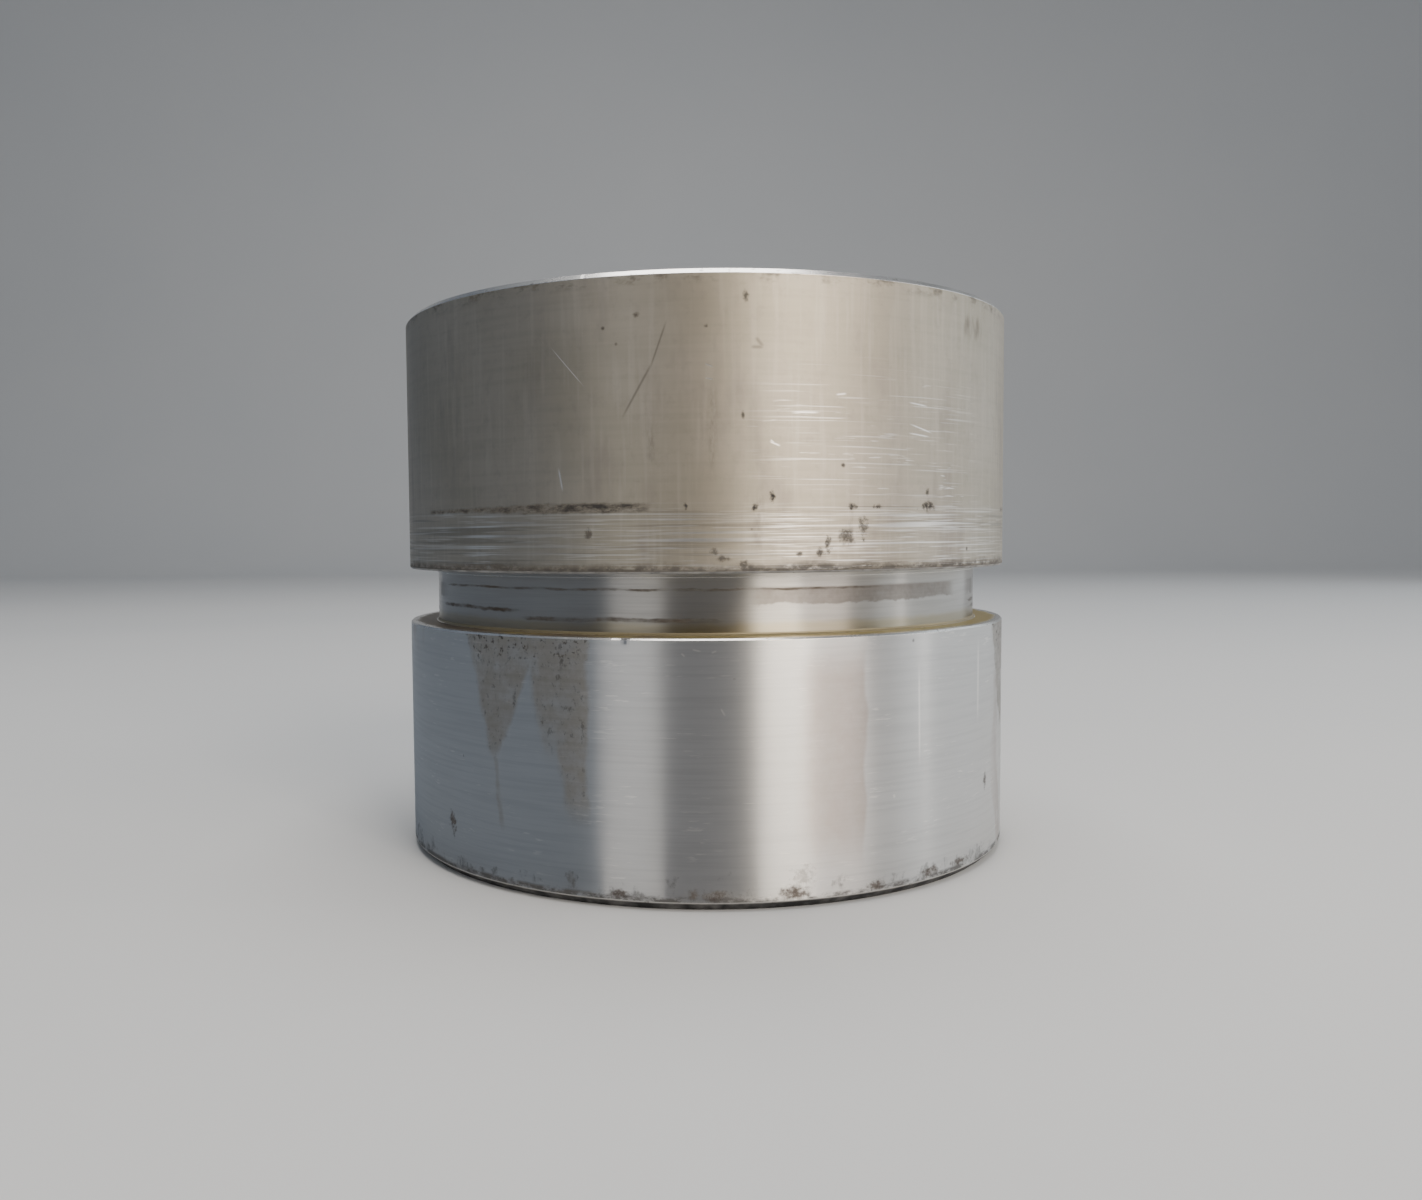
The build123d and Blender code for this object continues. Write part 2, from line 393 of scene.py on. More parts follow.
def lower_land_material():
    """Freshly turned, polished surface, with water stains below the groove and a dirty foot."""
    g = Graph("lower_land_polished")
    cloud = g.noise(18, 3, seed=21)
    turning = g.rings(16, 0.5, 3, seed=22)
    fine = g.rings(4, 0.3, seed=23)
    mottle = g.noise(1.5, 5, 0.65, seed=24)
    wander = (g.noise((4, 4, 5), 4, 0.6, seed=25) - 0.5) * 2.2
    far_wander = (g.noise(9, 4, 0.65, seed=37) - 0.5) * 16
    far_side = g.step(abs(g.arc), 50, 60)
    arc = g.arc + wander + far_wander * far_side

    def inside(left, right, lowest, fade=3):
        """Between two slanting edges, each (arc, z, arc, z), fading out below over a height."""
        from_left = g.step(arc - g.slant(*left), -1, 0.5)
        from_right = g.step(g.slant(*right) - arc, -0.5, 0.5)
        return from_left * from_right * g.step(g.z, lowest - 1, lowest - 1 + fade)

    # water that stood along the groove edge and ran down in two tongues, and on the far side
    tongues = g.each(
        inside,
        ((-37.8, 36.8, -33, 19), (-25.2, 33.4, -31.6, 20), 19),
        ((-25.6, 34, -23.4, 20), (-16.6, 36.8, -16.6, 20), 19, 8),
        ((-21.8, 24, -19.4, 12), (-16.6, 24, -16.8, 12), 11, 6),
        ((-37.8, 36.8, -36, 30), (-16.6, 36.8, -16.6, 30), 33.5),
        ((54, 36.8, 60, 20), (66, 36.8, 62, 20), 20),
        ((-112, 36.8, -104, 14), (-92, 36.8, -101, 14), 14),
        ((112, 36.8, 121, 9), (129, 36.8, 124, 9), 9),
    )
    trail = g.step(abs(arc - g.slant(-32.6, 20, -31, 8)), 0.7, 0.1)
    trail *= g.band(g.z, 11, 20, 3) * 0.6
    blotch = g.step(g.noise(3, 5, 0.7, seed=35), 0.3, 0.62)
    thickness = mottle * 0.45 + blotch * 0.3 + turning * 0.25
    stain = g.most(tongues, trail) * thickness
    pit_noise = g.step(g.noise(0.9, 5, 0.7, seed=26), 0.55, 0.63)
    pits = tongues * g.step(g.z, 31, 35.5) * pit_noise
    fleck_noise = g.step(g.noise((0.7, 0.7, 1.1), 4, 0.7, seed=27), 0.57, 0.66)
    flecks = tongues * fleck_noise * 0.4

    haze_edge = 22.3 + (g.noise((30, 30, 12), 2, seed=28) - 0.5) * 3.6
    haze = g.step(g.arc - haze_edge, 0.35, -0.35)
    haze *= g.step(g.arc, 11, 15) * g.step(g.z, 3, 12) * g.step(g.z, 36.5, 31)
    far_haze = g.step(g.noise((9, 9, 20), 3, 0.6, seed=29), 0.58, 0.66)
    far_haze *= g.step(abs(g.arc), 50, 60)
    haze = g.most(haze, far_haze) * (0.35 + mottle * 0.5)

    # dirt rubbed into the foot: a thin line above the chamfer and smudges drawn up from it
    above = g.z - LOWER_CHAMFER
    reach = g.step(g.noise(3.4, 4, 0.6, seed=30), 0.46, 0.74) * 4.2
    foot = g.step(above - reach, 1.2, -1)
    foot *= g.step(g.noise((1.1, 1.1, 1.9), 5, 0.7, seed=31), 0.36, 0.66)
    line_reach = 0.25 + g.noise(6, 4, 0.6, seed=36) * 0.9
    foot_line = g.step(above - line_reach, 0.35, -0.25)
    foot_line *= g.step(g.noise((3, 3, 1.5), 5, 0.7, seed=32), 0.36, 0.58)
    clumps = g.each(
        g.patch,
        (-12.4, 2, 1.6, 0.8, 0.7), (-2.2, 2.3, 0.8, 1, 0.7), (1.2, 2.2, 2.2, 0.9, 0.8),
        (11.6, 2.4, 2.6, 1, 0.8), (24, 2, 1.6, 0.8, 0.9), (34.3, 2.4, 2.6, 0.9, 0.9),
        (42, 2.4, 3, 0.7, 0.9), (-43, 8, 1, 1.8, 1.2), (50.6, 12.9, 0.9, 1.3, 1),
    )
    clumps = g.most(clumps, g.patch(12.8, 4.4, 1.8, 1.5, 1.3) * 0.45)
    specks = g.step(g.spots(7.5, 3) + mottle * 0.08, 0.08, 0.045)
    scuff_zone = g.step(g.noise((8, 8, 6), 2, seed=33), 0.46, 0.66)
    scuffs = g.step(g.rings(3, 0.4, seed=34), 0.6, 0.7) * scuff_zone
    glints = g.each(
        g.segment,
        (47.4, 35.5, 47.3, 21.5, 0.55), (31.8, 33, 32, 17, 0.3),
        (27, 14.4, 27.3, 13.8, 0.3), (-2.2, 35.4, -0.8, 35.1, 0.2),
        (-3.6, 34.9, -3, 34.4, 0.2), (0.4, 34.9, 1.2, 35.2, 0.2), (1.6, 27.6, 2.3, 26.4, 0.2),
    )

    tone = g.coats(
        g.mix(cloud, METAL_PALE, (0.7, 0.69, 0.68)),
        (g.step(turning, 0.4, 0.7), 0.3, (0.5, 0.49, 0.48)),
        (scuffs, 0.6, METAL_BRIGHT),
        (haze, 1, (0.5, 0.42, 0.37)),
        (stain, 1, (0.36, 0.32, 0.26)),
        (glints, 0.8, METAL_BRIGHT),
    )
    dirt = g.most(pits * 0.9, flecks, foot * 0.6, foot_line * 0.8, specks * 0.5)
    color = g.mix(clumps * 0.85, g.mix(dirt, tone, DIRT), (0.075, 0.052, 0.04))
    dirt = g.most(dirt, clumps * 0.85)

    rough = 0.29 + cloud * 0.04 + turning * 0.05
    rough = g.blend(stain, rough, 0.55)
    rough = g.blend(haze, rough, 0.42)
    rough = g.blend(dirt, rough, 0.7)
    g.bump((turning, 1.5), (fine, 0.6), (scuffs, 2), (pits, -12))
    g.grained(0.95)
    covered = g.most(dirt * dirt, stain * 0.3)
    return g.finish(color, rough, g.blend(covered, 1, 0.3))


def neck_material():
    """Polished floor of the groove, with lines of dirt and a film of dried oil."""
    g = Graph("neck_polished")
    turning = g.rings(14, 0.45, 3, seed=41)
    mottle = g.noise(1.2, 5, 0.65, seed=42)
    ripple = g.noise(6, 4, 0.6, seed=43) - 0.5
    rough_edge = g.noise(1.4, 4, 0.7, seed=44) - 0.5
    far = g.step(abs(g.arc), 54, 60)

    def far_parts(seed):
        """Where a mark shows on the rest of the neck."""
        return far * g.step(g.noise((11, 11, 30), 3, seed=seed), 0.46, 0.62)

    def line(height, waviness, width, front_part, seed):
        off = abs(g.z - height + ripple * waviness) + rough_edge * 0.3
        where = g.most(front_part, far_parts(seed))
        return g.step(off - where * width, 0, -0.7 * width) * where

    upper_line = line(43.1, 0.5, 0.24, g.band(g.arc, -52, 26, 6), 45)
    side_line = line(39.9, 1.2, 0.38, g.band(g.arc, -56, -34, 4), 46)
    brown_line = line(38.9, 0.9, 0.42, g.band(g.arc, -30, 1, 2.5), 47)
    lower_edge = 40.9 + ripple * 1.6 + rough_edge * 1.2
    grey_film = g.step(g.z, lower_edge, lower_edge + 0.3) * g.step(g.z, 43.5, 43.1)
    grey_film *= g.most(g.band(g.arc, 9, 46, 4), far_parts(48))
    grey_film *= 0.35 + mottle * 0.7
    tide = g.step(g.z + ripple * 1.4, 39, 38)

    tone = g.coats(
        g.mix(g.step(turning, 0.4, 0.7) * 0.4, (0.5, 0.48, 0.45), (0.37, 0.35, 0.33)),
        (grey_film, 0.9, (0.26, 0.225, 0.2)),
        (tide, 0.55, (0.47, 0.4, 0.25)),
    )
    worn = 0.3 + g.step(g.noise((5, 5, 2), 4, 0.6, seed=49), 0.35, 0.65)
    dirt = g.most(upper_line * 0.6, side_line * 0.7, brown_line * 0.65)
    dirt = g.math("MULTIPLY", dirt, worn, clamp=True)
    color = g.mix(dirt, tone, (0.09, 0.065, 0.045))
    rough = 0.28 + turning * 0.08
    rough = g.blend(grey_film * 0.8, rough, 0.5)
    rough = g.blend(dirt, rough, 0.6)
    g.bump((turning, 1.5), (mottle, 0.8))
    g.grained(0.95)
    return g.finish(color, rough, g.blend(dirt * dirt, 1, 0.4))


def groove_face_material():
    """The groove's side faces, under an olive film of old oil."""
    g = Graph("groove_side_oily")
    radius = g.distance(g.x, g.y)
    ripple = (g.noise(5, 4, 0.6, seed=51) - 0.5) * 2.4
    film = g.step(radius + ripple, 49.3, 48.2)
    mottle = g.noise(1.5, 5, 0.65, seed=52)
    brown = g.step(g.noise(16, 2, seed=53) - g.arc * 0.006, 0.52, 0.68)
    tone = g.mix(mottle, METAL_PALE, (0.6, 0.58, 0.54))
    oil = g.mix(g.step(mottle, 0.3, 0.7), (0.42, 0.34, 0.12), (0.31, 0.245, 0.08))
    oil = g.mix(brown, oil, (0.17, 0.12, 0.075))
    color = g.mix(film * 0.95, tone, oil)
    rough = g.blend(film, 0.22, 0.4)
    g.bump((mottle, 2))
    return g.finish(color, rough, g.blend(film, 1, 0.35))


def end_face_material():
    """Faced ends: fine concentric tool lines, with a few handling marks."""
    g = Graph("end_face_turned")
    radius = g.distance(g.x, g.y)
    wobble = g.noise(14, 2, seed=31) * 0.25
    lines = 0.5 + g.math("SINE", (radius + wobble) * (2 * pi / 0.32)) * 0.5
    coarse = g.node("TexNoise", W=radius * 0.9, Scale=1, Detail=5, noise_dimensions="1D")
    band = Value(g, coarse.outputs["Fac"])
    cloud = g.noise(16, 3, seed=32)
    marks = g.step(g.noise((1, 7, 5), 3, 0.6, seed=33), 0.68, 0.76)
    rim_dirt = g.step(radius, OUTER_R - 2.2, OUTER_R - 1)
    rim_dirt *= g.step(g.noise(2.4, 3, 0.6, seed=34), 0.54, 0.62)
    tone = g.coats(
        g.mix(cloud, METAL_PALE, (0.8, 0.79, 0.77)),
        (g.step(band, 0.4, 0.65), 0.3, (0.6, 0.58, 0.56)),
        (marks, 0.4, METAL_BRIGHT),
    )
    color = g.mix(rim_dirt * 0.7, tone, DIRT)
    rough = 0.2 + band * 0.16 + cloud * 0.06
    g.bump((lines, 1.6), (band, 6), (marks, 3))
    g.grained(0.85, g.vector(g.x, g.y, 0))
    return g.finish(color, g.blend(rim_dirt, rough, 0.7), g.blend(rim_dirt, 1, 0.4))


def edge_material():
    """Chamfers and broken edges: bare bright metal, rubbed and pitted, with painted shade darkening
    the foot chamfer and the edge under the upper land.
    """
    g = Graph("edge_bright")
    pits = g.step(g.noise(0.9, 4, 0.65, seed=54), 0.6, 0.68)
    rub = g.noise(6, 3, seed=55)
    # painted shade: the foot chamfer is darkened for the contact shadow at the base, and the edge
    # under the upper land for the shadow beneath it
    foot = g.step(g.z, 1.5, 0.9) * (0.75 + g.noise(2, 4, seed=56) * 0.4)
    under_land_shadow = g.band(g.z, UPPER_LAND_BOTTOM - 0.1, UPPER_LAND_BOTTOM + LAND_EDGE + 0.1, 0.05)
    under_land_shadow *= (0.35 + g.noise(3, 3, seed=57) * 0.7)
    painted_shade = g.most(foot, under_land_shadow)
    oil = g.band(g.z, LOWER_LAND_TOP + 0.05, LOWER_LAND_TOP + NECK_CORNER_R + 0.1, 0.03)
    oil_tone = g.mix(g.noise(9, 3, seed=58), (0.13, 0.1, 0.04), (0.34, 0.28, 0.13))
    tone = g.coats(
        g.mix(rub, (0.84, 0.82, 0.79), METAL_BRIGHT),
        (pits, 0.6, (0.16, 0.15, 0.14)),
        (oil, 0.9, oil_tone),
    )
    # the painted shade turns these edges near black, and makes them rougher and less metallic
    color = g.mix(painted_shade, tone, (0.016, 0.016, 0.017))
    g.bump((pits, -5))
    rough = g.blend(painted_shade, 0.2 + rub * 0.12, 0.72)
    rough = g.blend(oil, rough, 0.42)
    return g.finish(color, rough, g.blend(g.most(painted_shade, oil * 0.7), 1, 0.2))


def bore_material():
    """Bored wall: close even rings, a smear of oil."""
    g = Graph("bore_bored")
    rings = 0.5 + g.math("SINE", g.z * (2 * pi / 0.22)) * 0.5
    uneven = g.rings(30, 1.1, seed=37)
    oil = g.step(g.noise((6, 6, 12), 3, seed=38), 0.5, 0.66)
    tone = g.mix(uneven, METAL_PALE, (0.74, 0.73, 0.72))
    color = g.mix(oil * 0.35, tone, (0.4, 0.35, 0.26))
    g.bump((rings, 0.8), (uneven, 1.2))
    g.grained(0.9)
    return g.finish(color, g.blend(oil, 0.22 + uneven * 0.1, 0.3))


def keyway_material():
    """Broached slot: straight tears along Z."""
    g = Graph("keyway_broached")
    tears = g.noise((0.25, 0.25, 18), 3, 0.6, seed=39)
    chatter = g.noise((9, 9, 0.8), 2, seed=40)
    tone = g.mix(tears, (0.5, 0.49, 0.48), METAL_PALE)
    g.bump((tears, 7), (chatter, 3))
    return g.finish(tone, 0.26 + tears * 0.2)


def drilled_material():
    """Drilled and tapped surfaces: torn metal with oil left in the threads."""
    g = Graph("tapped_wall")
    tear = g.noise(0.35, 4, 0.7, seed=41)
    oil = g.step(g.noise(2, 3, seed=42), 0.42, 0.62)
    tone = g.mix(tear, (0.46, 0.45, 0.43), METAL_PALE)
    color = g.mix(oil * 0.5, tone, (0.16, 0.13, 0.1))
    g.bump((tear, 6))
    return g.finish(color, 0.26 + tear * 0.2)


def black_steel_material():
    """Black oxide on the set screws, rubbed to bare steel on crests and socket rims."""
    g = Graph("screw_black_oxide")
    grain = g.noise(0.5, 4, 0.6, seed=43)
    cloud = g.noise(4, 2, seed=44)
    rubbed = g.step(g.noise(0.8, 4, 0.7, seed=45), 0.6, 0.72)
    tone = g.mix(cloud, (0.05, 0.05, 0.055), (0.095, 0.092, 0.095))
    color = g.mix(rubbed * 0.55, tone, (0.42, 0.4, 0.38))
    g.bump((grain, 4))
    return g.finish(color, 0.3 + grain * 0.18, g.blend(rubbed, 0.75, 1))


def brass_material():
    """Parted-off brass: turned rings round its own axis are too fine to see, dulled and smeared."""
    g = Graph("pad_brass")
    grain = g.noise(0.4, 4, 0.6, seed=46)
    tarnish = g.noise(3, 3, seed=47)
    tone = g.mix(g.step(tarnish, 0.3, 0.75), (0.83, 0.62, 0.3), (0.5, 0.33, 0.14))
    g.bump((grain, 3))
    return g.finish(tone, 0.24 + tarnish * 0.2)


def spring_steel_material():
    """Phosphated retaining ring, oily and a little rubbed."""
    g = Graph("ring_phosphated")
    grain = g.noise(0.3, 4, 0.6, seed=48)
    rubbed = g.step(g.noise(1.6, 4, 0.6, seed=49), 0.58, 0.7)
    tone = g.mix(grain, (0.06, 0.06, 0.062), (0.12, 0.12, 0.12))
    color = g.mix(rubbed * 0.4, tone, (0.38, 0.37, 0.36))
    g.bump((grain, 5))
    return g.finish(color, 0.34 + grain * 0.16, 0.8)


# ========== mesh helpers
def in_scene(name, data):
    """A new object in the scene, from a mesh, curve, light or camera."""
    thing = bpy.data.objects.new(name, data)
    bpy.context.scene.collection.objects.link(thing)
    return thing


def new_object(name, vertices, faces, materials, slots=None):
    """An object from vertices in millimetres."""
    mesh = bpy.data.meshes.new(name)
    mesh.from_pydata([tuple(v) for v in np.asarray(vertices) * MM], [], faces)
    for material in materials:
        mesh.materials.append(material)
    if slots is not None:
        mesh.polygons.foreach_set("material_index", slots)
    mesh.update()
    return in_scene(name, mesh)


def smooth_by_angle(thing, degrees):
    thing.data.polygons.foreach_set("use_smooth", [True] * len(thing.data.polygons))
    thing.data.set_sharp_from_angle(angle=radians(degrees))
    thing.data.update()


def stitch(count, ring_count, closed):
    """Quads between successive rings of count points; closed joins the last ring to the first."""
    faces = []
    last = ring_count if closed else ring_count - 1
    for ring in range(last):
        here = ring * count
        above = (ring + 1) % ring_count * count
        for i in range(count):
            j = (i + 1) % count
            faces.append((here + i, here + j, above + j, above + i))
    return faces


def capped(count, ring_count):
    """Quads between successive rings, and one face over each end."""
    last = count * (ring_count - 1)
    ends = [tuple(reversed(range(count))), tuple(range(last, last + count))]
    return stitch(count, ring_count, closed=False) + ends


def circle(radius, angles, height):
    """Points at these angles round the Z axis. radius and height may differ with the angle."""
    points = np.broadcast_arrays(radius * np.cos(angles), radius * np.sin(angles), height)
    return np.stack(points, 1)


def all_round(steps):
    """Equal angles round a full turn."""
    return np.arange(steps) / steps * 2 * pi


def screw_height(name):
    low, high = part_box(name + "_screw")
    return (low.z + high.z) / 2 / MM


def screw_frame(name):
    """Matrix whose Z is a screw's outward direction, at the screw's height on the shaft axis."""
    outward, _ = SCREWS[name]
    up = Vector((0, 0, 1))
    turn = Matrix((up, outward.cross(up), outward)).transposed()
    return Matrix.Translation(up * screw_height(name)) @ turn.to_4x4()


def placed(matrix, points):
    """Points in millimetres, moved by a matrix in millimetres."""
    turn = np.array(matrix.to_3x3())
    return points @ turn.T + np.array(matrix.translation)


# ========== the sleeve
EDGE_STEPS = 3
SLEEVE_STEPS = 720
KNOCK_REACH = 1.3        # how far a knock on an edge dents the faces beside it, along Z and inwards
KNOCK_DEPTH = 1.4
OVERCUT = 1.0            # how far a cutter stands out of the metal
HOLE_START = 12.0        # cutters start inside the bore, at these distances from the axis
KEYWAY_START = 5.0


def rounded(corners):
    """Outline with each corner rounded. corners are (r, z, rounding, surface after it)."""
    outline = []
    count = len(corners)
    for i, (r, z, rounding, surface) in enumerate(corners):
        here = np.array((r, z))
        before = np.array(corners[i - 1][:2]) - here
        after = np.array(corners[(i + 1) % count][:2]) - here
        if rounding == 0:
            outline.append((r, z, surface))
            continue
        before /= np.linalg.norm(before)
        after /= np.linalg.norm(after)
        half = acos(max(-1.0, min(1.0, float(before @ after)))) / 2
        cut = rounding / tan(half)
        inward = (before + after) / np.linalg.norm(before + after)
        middle = here + inward * rounding / sin(half)
        start = here + before * cut - middle
        end = here + after * cut - middle
        sweep = pi - 2 * half
        for k in range(EDGE_STEPS + 1):
            share = k / EDGE_STEPS
            a = sin((1 - share) * sweep) / sin(sweep)
            b = sin(share * sweep) / sin(sweep)
            point = middle + start * a + end * b
            outline.append((*point, surface if k == EDGE_STEPS else "edge"))
    return outline


def sleeve_outline():
    """The sleeve's half section, with rings near its edges that keep knocks from spreading."""
    foot, top = LOWER_CHAMFER, TOTAL_HEIGHT
    lower_rings = (foot + 0.8, foot + 1.6, LOWER_LAND_TOP - 1.4, LOWER_LAND_TOP - 0.8)
    upper_rings = (UPPER_LAND_BOTTOM + 0.8, UPPER_LAND_BOTTOM + 1.4, top - 1.6, top - 1.1)
    step_r = NECK_R + NECK_STEP_DEPTH
    step_z = UPPER_LAND_BOTTOM - NECK_STEP_HEIGHT
    mid = TOTAL_HEIGHT / 2
    half = RING_GROOVE_WIDTH / 2
    mouth = BORE_R + BORE_MOUTH
    return rounded([
        (mouth, 0.0, 0.1, "end_face"),
        (OUTER_R - LOWER_CHAMFER, 0.0, 0.15, "edge"),
        (OUTER_R, LOWER_CHAMFER, 0.2, "lower_land"),
        *((OUTER_R, z, 0.0, "lower_land") for z in lower_rings),
        (OUTER_R, LOWER_LAND_TOP - LAND_EDGE, 0.08, "edge"),
        (OUTER_R - LAND_EDGE, LOWER_LAND_TOP, 0.08, "groove_face"),
        (NECK_R, LOWER_LAND_TOP, NECK_CORNER_R, "neck"),
        (NECK_R, step_z, 0.03, "neck"),
        (step_r, step_z, 0.03, "neck"),
        (step_r, UPPER_LAND_BOTTOM, 0.0, "groove_face"),
        (OUTER_R - LAND_EDGE, UPPER_LAND_BOTTOM, 0.08, "edge"),
        (OUTER_R, UPPER_LAND_BOTTOM + LAND_EDGE, 0.08, "upper_land"),
        *((OUTER_R, z, 0.0, "upper_land") for z in upper_rings),
        (OUTER_R, top - UPPER_CHAMFER, 0.12, "edge"),
        (OUTER_R - UPPER_CHAMFER, top, 0.12, "end_face"),
        (mouth, top, 0.1, "edge"),
        (BORE_R, top - BORE_MOUTH, 0.1, "bore"),
        (BORE_R, mid + half, 0.0, "bore"),
        (RING_GROOVE_R, mid + half, 0.0, "bore"),
        (RING_GROOVE_R, mid - half, 0.0, "bore"),
        (BORE_R, mid - half, 0.0, "bore"),
        (BORE_R, BORE_MOUTH, 0.1, "edge"),
    ])


def nicks():
    """Knocks on the outer edges: (angle, half width in mm, depth in mm) for each edge height."""
    draw = random.Random(11)
    edges = {}
    counts = {0.0: 26, LOWER_LAND_TOP: 16, UPPER_LAND_BOTTOM: 12, TOTAL_HEIGHT: 30}
    for height, count in counts.items():
        edges[height] = [
            (draw.uniform(-pi, pi), draw.uniform(0.4, 1.3), draw.uniform(0.02, 0.09))
            for _ in range(count)
        ]
    return edges


def sleeve_blank(surfaces):
    """The outline revolved about the shaft axis, with small knocks on its edges."""
    outline = sleeve_outline()
    angles = all_round(SLEEVE_STEPS)
    knocks = nicks()
    rings = []
    for r, z, _ in outline:
        radius = np.full(SLEEVE_STEPS, r)
        for height, edge in knocks.items():
            near = 1 - abs(z - height) / KNOCK_REACH
            if near <= 0 or r <= OUTER_R - KNOCK_DEPTH:
                continue
            for angle, half_width, depth in edge:
                away = (angles - angle + pi) % (2 * pi) - pi
                dent = np.exp(-((away * OUTER_R / half_width) ** 2))
                radius = radius - near * depth * dent
        rings.append(circle(radius, angles, z))
    names = list(surfaces)
    slots = [names.index(surface) for _, _, surface in outline for _ in range(SLEEVE_STEPS)]
    faces = stitch(SLEEVE_STEPS, len(outline), closed=True)
    return new_object("sleeve_turned", np.vstack(rings), faces, list(surfaces.values()), slots)


def turned_solid(name, outline, matrix, material, steps=96):
    """A closed solid revolved about a screw's axis. outline is (radius, distance) pairs."""
    rings = [circle(r, all_round(steps), distance) for r, distance in outline]
    points = placed(matrix, np.vstack(rings))
    return new_object(name, points, capped(steps, len(outline)), [material])


def hole_cutter(name, materials):
    outline = [
        (HOLE_R, HOLE_START),
        (HOLE_R, OUTER_R - COUNTERSINK),
        (HOLE_MOUTH_R + OVERCUT, OUTER_R + OVERCUT),
    ]
    return turned_solid("cut_" + name, outline, screw_frame(name), materials["tapped"])


def keyway_cutter(materials):
    half = KEYWAY_WIDTH / 2
    start, floor = KEYWAY_START, KEYWAY_FLOOR
    section = ((-half, start), (half, start), (half, floor), (-half, floor))
    corners = [(x, y, z) for z in (-OVERCUT, TOTAL_HEIGHT + OVERCUT) for x, y in section]
    faces = [(3, 2, 1, 0), (4, 5, 6, 7)]
    faces += [(i, (i + 1) % 4, (i + 1) % 4 + 4, i + 4) for i in range(4)]
    return new_object("cut_keyway", corners, faces, [materials["keyway"]])


def carve(blank, cutters):
    """Cuts the cutters out of the blank and throws them away."""
    for cutter in cutters:
        cut = blank.modifiers.new(cutter.name, "BOOLEAN")
        cut.operation = "DIFFERENCE"
        cut.solver = "EXACT"
        cut.object = cutter
        cut.material_mode = "TRANSFER"
    graph = bpy.context.evaluated_depsgraph_get()
    carved = bpy.data.meshes.new_from_object(blank.evaluated_get(graph))
    blank.modifiers.clear()
    blank.data = carved
    for cutter in cutters:
        bpy.data.objects.remove(cutter)


def square_to(axis, vector):
    """The part of a vector at right angles to an axis."""
    return vector - axis * vector.dot(axis)


FLAT_WALL = 0.04         # a face that leans this far out of its ring is a flat cut by the keyway


def true_normals(sleeve):
    """Gives every face the normal of the surface it belongs to, so that long faces shade true."""
    mesh = sleeve.data
    material_names = [m.name for m in mesh.materials]
    holes = [(SCREWS[name][0], screw_height(name) * MM) for name in SCREWS]
    normals = [None] * len(mesh.loops)
    up = Vector((0, 0, 1))
    for face in mesh.polygons:
        centre, normal = face.center, face.normal
        if material_names[face.material_index] == "tapped_wall":
            axis, height = min(holes, key=lambda h: square_to(h[0], centre - up * h[1]).length)
            origin = up * height
        else:
            axis, origin = up, Vector((0, 0, 0))
        out = square_to(axis, centre - origin).normalized()
        along, away = normal.dot(axis), normal.dot(out)
        sideways = (normal - axis * along - out * away).length
        for loop in face.loop_indices:
            if sideways > FLAT_WALL:
                normals[loop] = normal
                continue
            spot = mesh.vertices[mesh.loops[loop].vertex_index].co - origin
            out = square_to(axis, spot).normalized()
            normals[loop] = (out * away + axis * along).normalized()
    mesh.polygons.foreach_set("use_smooth", [True] * len(mesh.polygons))
    mesh.normals_split_custom_set(normals)


def build_sleeve(materials):
    turned = ("upper_land", "lower_land", "neck", "groove_face", "end_face", "edge", "bore")
    sleeve = sleeve_blank({name: materials[name] for name in turned})
    cutters = [keyway_cutter(materials)] + [hole_cutter(name, materials) for name in SCREWS]
    carve(sleeve, cutters)
    true_normals(sleeve)
    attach(sleeve, "sleeve")
    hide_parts("sleeve")


# ========== threads, screws, pads
THREAD_STEPS = 72
ROWS_PER_TURN = 14
AXIS_R = 0.02            # a turned shape closes with a ring this small
DRILL_R = 2.5
THREAD_CREST = 0.14      # shares of half a pitch where the thread is full and where it bottoms
THREAD_FLANK = 0.66


def span(node, direction):
    """Where a node starts and ends along a direction, in millimetres."""
    low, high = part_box(node)
    return low.dot(direction) / MM, high.dot(direction) / MM


def thread_radius(distance, angle, play):
    """Radius of a right-hand thread's surface at a distance along its axis."""
    phase = (distance / THREAD_PITCH - angle / (2 * pi)) % 1.0
    slope = np.abs(phase - 0.5) * 2          # 0 at the crest, 1 at the root
    depth = np.clip((slope - THREAD_CREST) / THREAD_FLANK, 0.0, 1.0)
    return THREAD_MAJOR_R + play - depth * (THREAD_MAJOR_R - THREAD_MINOR_R)


def build_tapped_thread(name, materials):
    """The thread on the wall of one tapped hole, from its inner end to the countersink."""
    _, wall_radius = SCREWS[name]
    angles = all_round(THREAD_STEPS)
    mouth = OUTER_R - COUNTERSINK
    rows = int((mouth - wall_radius) / THREAD_PITCH * ROWS_PER_TURN)
    # local Y of the hole's frame lies across the shaft, so the bore's curve shortens the hole there
    root = HOLE_R + 0.03
    across = root * np.sin(angles)
    if name.endswith("key"):
        start = np.full(THREAD_STEPS, wall_radius + 0.05)
    else:
        start = np.sqrt(wall_radius**2 - across**2) + 0.05
    inner, outer = [], []
    for row in range(rows + 1):
        share = row / rows
        distance = start + (mouth - start) * share
        radius = thread_radius(distance, angles, THREAD_PLAY)
        sink = HOLE_R - (mouth - distance)
        radius = np.minimum(np.maximum(radius, sink), HOLE_R)
        inner.append(circle(radius, angles, distance))
        outer.append(circle(root, angles, distance))
    rings = inner + outer[::-1]
    points = placed(screw_frame(name), np.vstack(rings))
    faces = stitch(THREAD_STEPS, len(rings), closed=True)
    faces = [tuple(reversed(face)) for face in faces]
    thread = new_object("tapped_thread_" + name, points, faces, [materials["tapped"]])
    smooth_by_angle(thread, 35)
    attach(thread, "sleeve")


def hexagon_radius(angles):
    return SOCKET_FLAT_R / np.cos((angles + pi / 6) % (pi / 3) - pi / 6)


